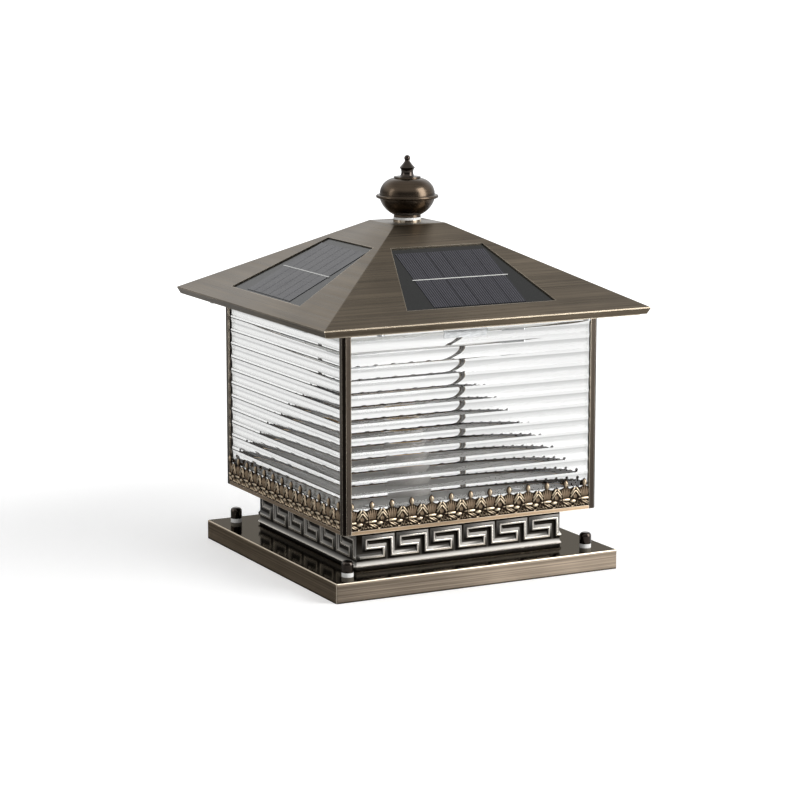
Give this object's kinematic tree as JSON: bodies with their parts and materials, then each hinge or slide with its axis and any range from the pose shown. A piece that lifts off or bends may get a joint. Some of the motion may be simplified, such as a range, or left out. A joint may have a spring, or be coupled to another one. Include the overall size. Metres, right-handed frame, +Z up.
{
  "type": "solar pagoda light",
  "caption": "Square pillar-top lantern with a hipped solar roof that lifts off, fluted glass sides, a palmette frieze, a key-patterned neck and a base tray on studs.",
  "frame": {"origin": "centre of the underside of the base, where it stands on the pillar", "axes": "+Z up; the front face looks towards -Y and the right face towards +X"},
  "size_m": [0.2994, 0.2994, 0.3446],
  "materials": {
    "bronze_sheet": "brushed antique bronze",
    "polished_bronze": "polished dark bronze",
    "dark_bronze": "satin dark bronze",
    "antique_casting": "antique silver bronze, dark in the grooves",
    "gilt_casting": "antique gold, dark in the grooves",
    "zinc_steel": "zinc plated",
    "clear_acrylic": "clear",
    "fluted_glass": "clear, fluted across",
    "panel_board": "dark resin",
    "silicon_cells": "silicon under resin",
    "white_nylon": "natural nylon",
    "white_ceramic": "glazed",
    "brass": "plain",
    "wire_insulation": "silicone sleeve",
    "black_rubber": "matt",
    "black_plastic": "fine texture",
    "frosted_plastic": "frosted",
    "led_board": "white mask",
    "battery_wrap": "shrink wrap",
    "circuit_board": "solder mask"
  },
  "bodies": {
    "lantern": {"mounting_plate": "zinc_steel", "mounting_studs": "zinc_steel", "base_cover": "polished_bronze", "stud_spacers": "white_nylon", "acorn_nuts": "dark_bronze", "neck_panel_front": "antique_casting", "neck_panel_right": "antique_casting", "neck_panel_back": "antique_casting", "neck_panel_left": "antique_casting", "neck_corner_angles": "zinc_steel", "tie_bolts": "zinc_steel", "floor_tray": "bronze_sheet", "top_frame": "bronze_sheet", "corner_post_front": "bronze_sheet", "corner_post_right": "bronze_sheet", "corner_post_back": "bronze_sheet", "corner_post_left": "bronze_sheet", "glazing_angles": "clear_acrylic", "glass_pane_front": "fluted_glass", "glass_pane_right": "fluted_glass", "glass_pane_back": "fluted_glass", "glass_pane_left": "fluted_glass", "frieze_front": "gilt_casting", "frieze_right": "gilt_casting", "frieze_back": "gilt_casting", "frieze_left": "gilt_casting", "lamp_holder": "white_ceramic", "lamp_contacts": "brass", "lamp_leads": "wire_insulation", "terminal_block": "white_nylon", "cable_grommet": "black_rubber"},
    "roof": {"roof_shell": "bronze_sheet", "ceiling_plate": "bronze_sheet", "ceiling_screws": "zinc_steel", "locating_tabs": "zinc_steel", "panel_clips": "zinc_steel", "solar_panel_front": "panel_board", "solar_panel_right": "panel_board", "solar_panel_back": "panel_board", "solar_panel_left": "panel_board", "solar_cells_front": "silicon_cells", "solar_cells_right": "silicon_cells", "solar_cells_back": "silicon_cells", "solar_cells_left": "silicon_cells", "led_board": "led_board", "led_cover": "frosted_plastic", "switch_body": "black_plastic", "battery_box": "black_plastic", "battery_cells": "battery_wrap", "controller_board": "circuit_board", "finial_stud": "zinc_steel", "finial_nut": "zinc_steel", "finial_collar": "polished_bronze", "finial_washer": "white_nylon", "finial_ball_lower": "dark_bronze", "finial_ball_upper": "dark_bronze"},
    "finial_disc": {"finial_disc": "dark_bronze"},
    "finial_spire": {"finial_spire": "dark_bronze"},
    "power_button": {"power_button": "black_plastic"}
  },
  "joints": [
    {"name": "roof_lift", "type": "slide", "parent": "lantern", "child": "roof", "axis": [0, 0, 1], "range_m": [0, 0.15]},
    {"name": "finial_disc_rise", "type": "slide", "parent": "roof", "child": "finial_disc", "axis": [0, 0, 1], "range_m": [0, 0.008]},
    {"name": "finial_spire_turn", "type": "hinge", "parent": "finial_disc", "child": "finial_spire", "pos_m": [0, 0, 0.33], "axis": [0, 0, 1], "range_deg": [0, 2880]},
    {"name": "power_button_press", "type": "slide", "parent": "roof", "child": "power_button", "axis": [0, 0, 1], "range_m": [0, 0.002], "stiffness_N_per_m": 600}
  ],
  "couplings": [
    {"joint": "finial_spire_turn", "follows": "finial_disc_rise", "rad_per_m": 6283.2}
  ]
}
